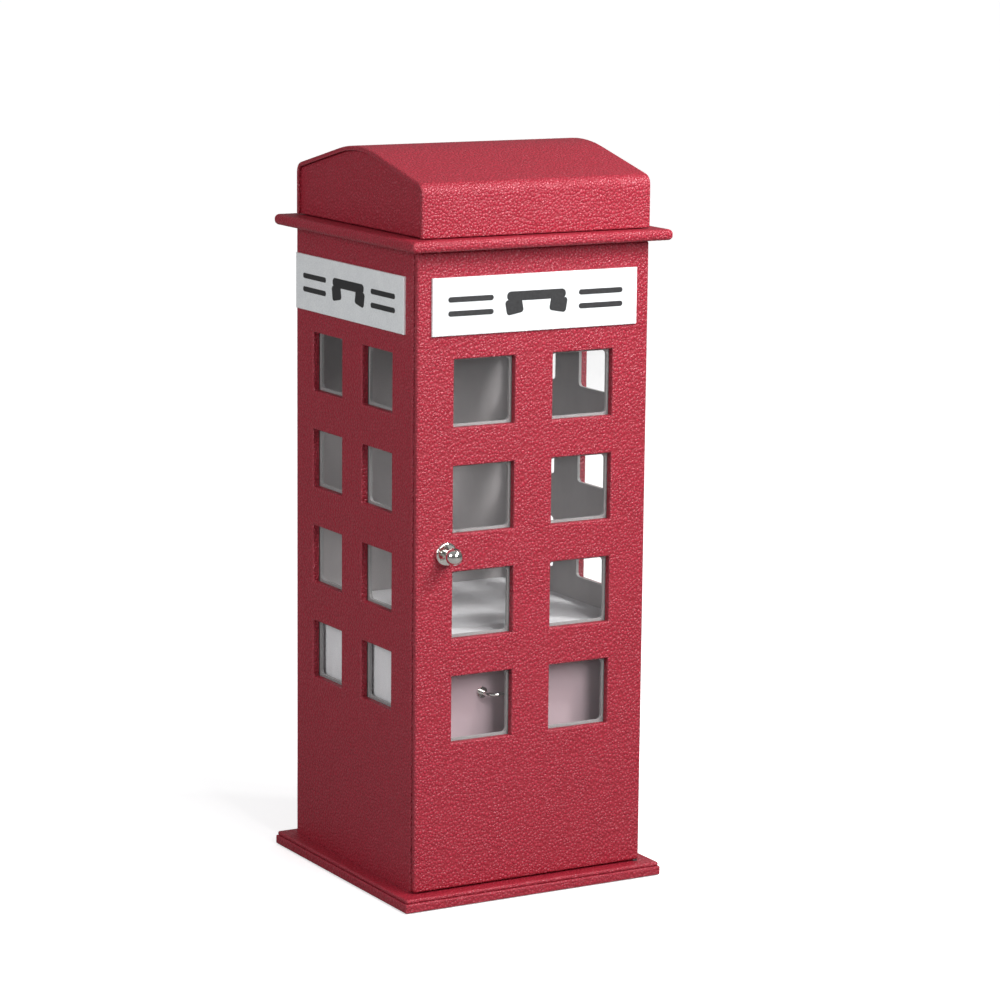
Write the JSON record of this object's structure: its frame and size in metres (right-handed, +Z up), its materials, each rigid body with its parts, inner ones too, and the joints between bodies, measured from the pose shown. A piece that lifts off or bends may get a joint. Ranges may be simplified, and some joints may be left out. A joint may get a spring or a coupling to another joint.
{
  "type": "jewellery cabinet",
  "caption": "Table-top jewellery cabinet shaped like a red telephone booth: windowed hinged door, hinged roof lid over a ring tray, turning necklace pegs and drawers.",
  "frame": {"origin": "middle of the underside of the base, on the surface it stands on", "axes": "+Z up, -Y out of the door, +X to the right as the door is faced, door pivot at +X"},
  "size_m": [0.147, 0.1521, 0.37],
  "materials": {
    "red_leather": "red grained artificial leather over board",
    "grey_suede": "grey suede-like lining on white card",
    "clear_pane": "clear plastic sheet",
    "white_plaque": "white satin plastic",
    "printed_charcoal": "charcoal print",
    "polished_steel": "polished plated metal",
    "black_plastic": "black moulded plastic",
    "black_felt": "black felt",
    "ring_roll_velvet": "grey velvet over foam"
  },
  "bodies": {
    "cabinet": {"base_felt": "black_felt", "base_board": "red_leather", "base_lip": "red_leather", "left_wall": "red_leather", "right_wall": "red_leather", "back_wall": "red_leather", "left_pane": "clear_pane", "right_pane": "clear_pane", "left_lining": "grey_suede", "right_lining": "grey_suede", "back_lining": "grey_suede", "cabinet_floor": "grey_suede", "drawer_divider": "grey_suede", "hanging_floor": "grey_suede", "lower_drawer_front": "grey_suede", "lower_drawer_box": "grey_suede", "lower_drawer_liner": "grey_suede", "lower_drawer_handle": "polished_steel", "upper_drawer_front": "grey_suede", "upper_drawer_box": "grey_suede", "upper_drawer_liner": "grey_suede", "upper_drawer_handle": "polished_steel", "handle_screws": "polished_steel", "ceiling_board": "grey_suede", "tray_frame": "grey_suede", "ledge": "red_leather", "ring_rolls": "ring_roll_velvet", "carousel_spindle": "polished_steel", "spindle_washer": "polished_steel", "catch_magnet": "black_plastic", "left_sign": "white_plaque", "right_sign": "white_plaque", "left_sign_print": "printed_charcoal", "right_sign_print": "printed_charcoal", "door_pivot_pins": "polished_steel", "door_pivot_washers": "black_plastic", "lid_hinge_ledge_leaves": "polished_steel", "lid_hinge_pins": "polished_steel", "lid_hinge_ledge_screws": "polished_steel"},
    "door": {"door_board": "red_leather", "door_pane": "clear_pane", "door_lining": "grey_suede", "knob": "polished_steel", "knob_flange": "polished_steel", "knob_screw": "polished_steel", "door_sign": "white_plaque", "door_sign_print": "printed_charcoal", "strike_plate": "polished_steel"},
    "roof_lid": {"roof_wrap": "red_leather", "left_gable": "red_leather", "right_gable": "red_leather", "roof_lining": "grey_suede", "lid_hinge_lid_leaves": "polished_steel", "lid_hinge_lid_screws": "polished_steel"},
    "carousel": {"carousel_disc": "grey_suede", "necklace_pegs": "polished_steel"}
  },
  "joints": [
    {"name": "door_pivot", "type": "hinge", "parent": "cabinet", "child": "door", "pos_m": [0.0632, -0.0628, 0.166], "axis": [0, 0, 1], "range_deg": [0, 120]},
    {"name": "lid_hinge", "type": "hinge", "parent": "cabinet", "child": "roof_lid", "pos_m": [0, 0.0684, 0.3322], "axis": [-1, 0, 0], "range_deg": [0, 105]},
    {"name": "carousel_turn", "type": "hinge", "parent": "cabinet", "child": "carousel", "pos_m": [0, 0, 0.2815], "axis": [0, 0, 1], "continuous": true}
  ]
}
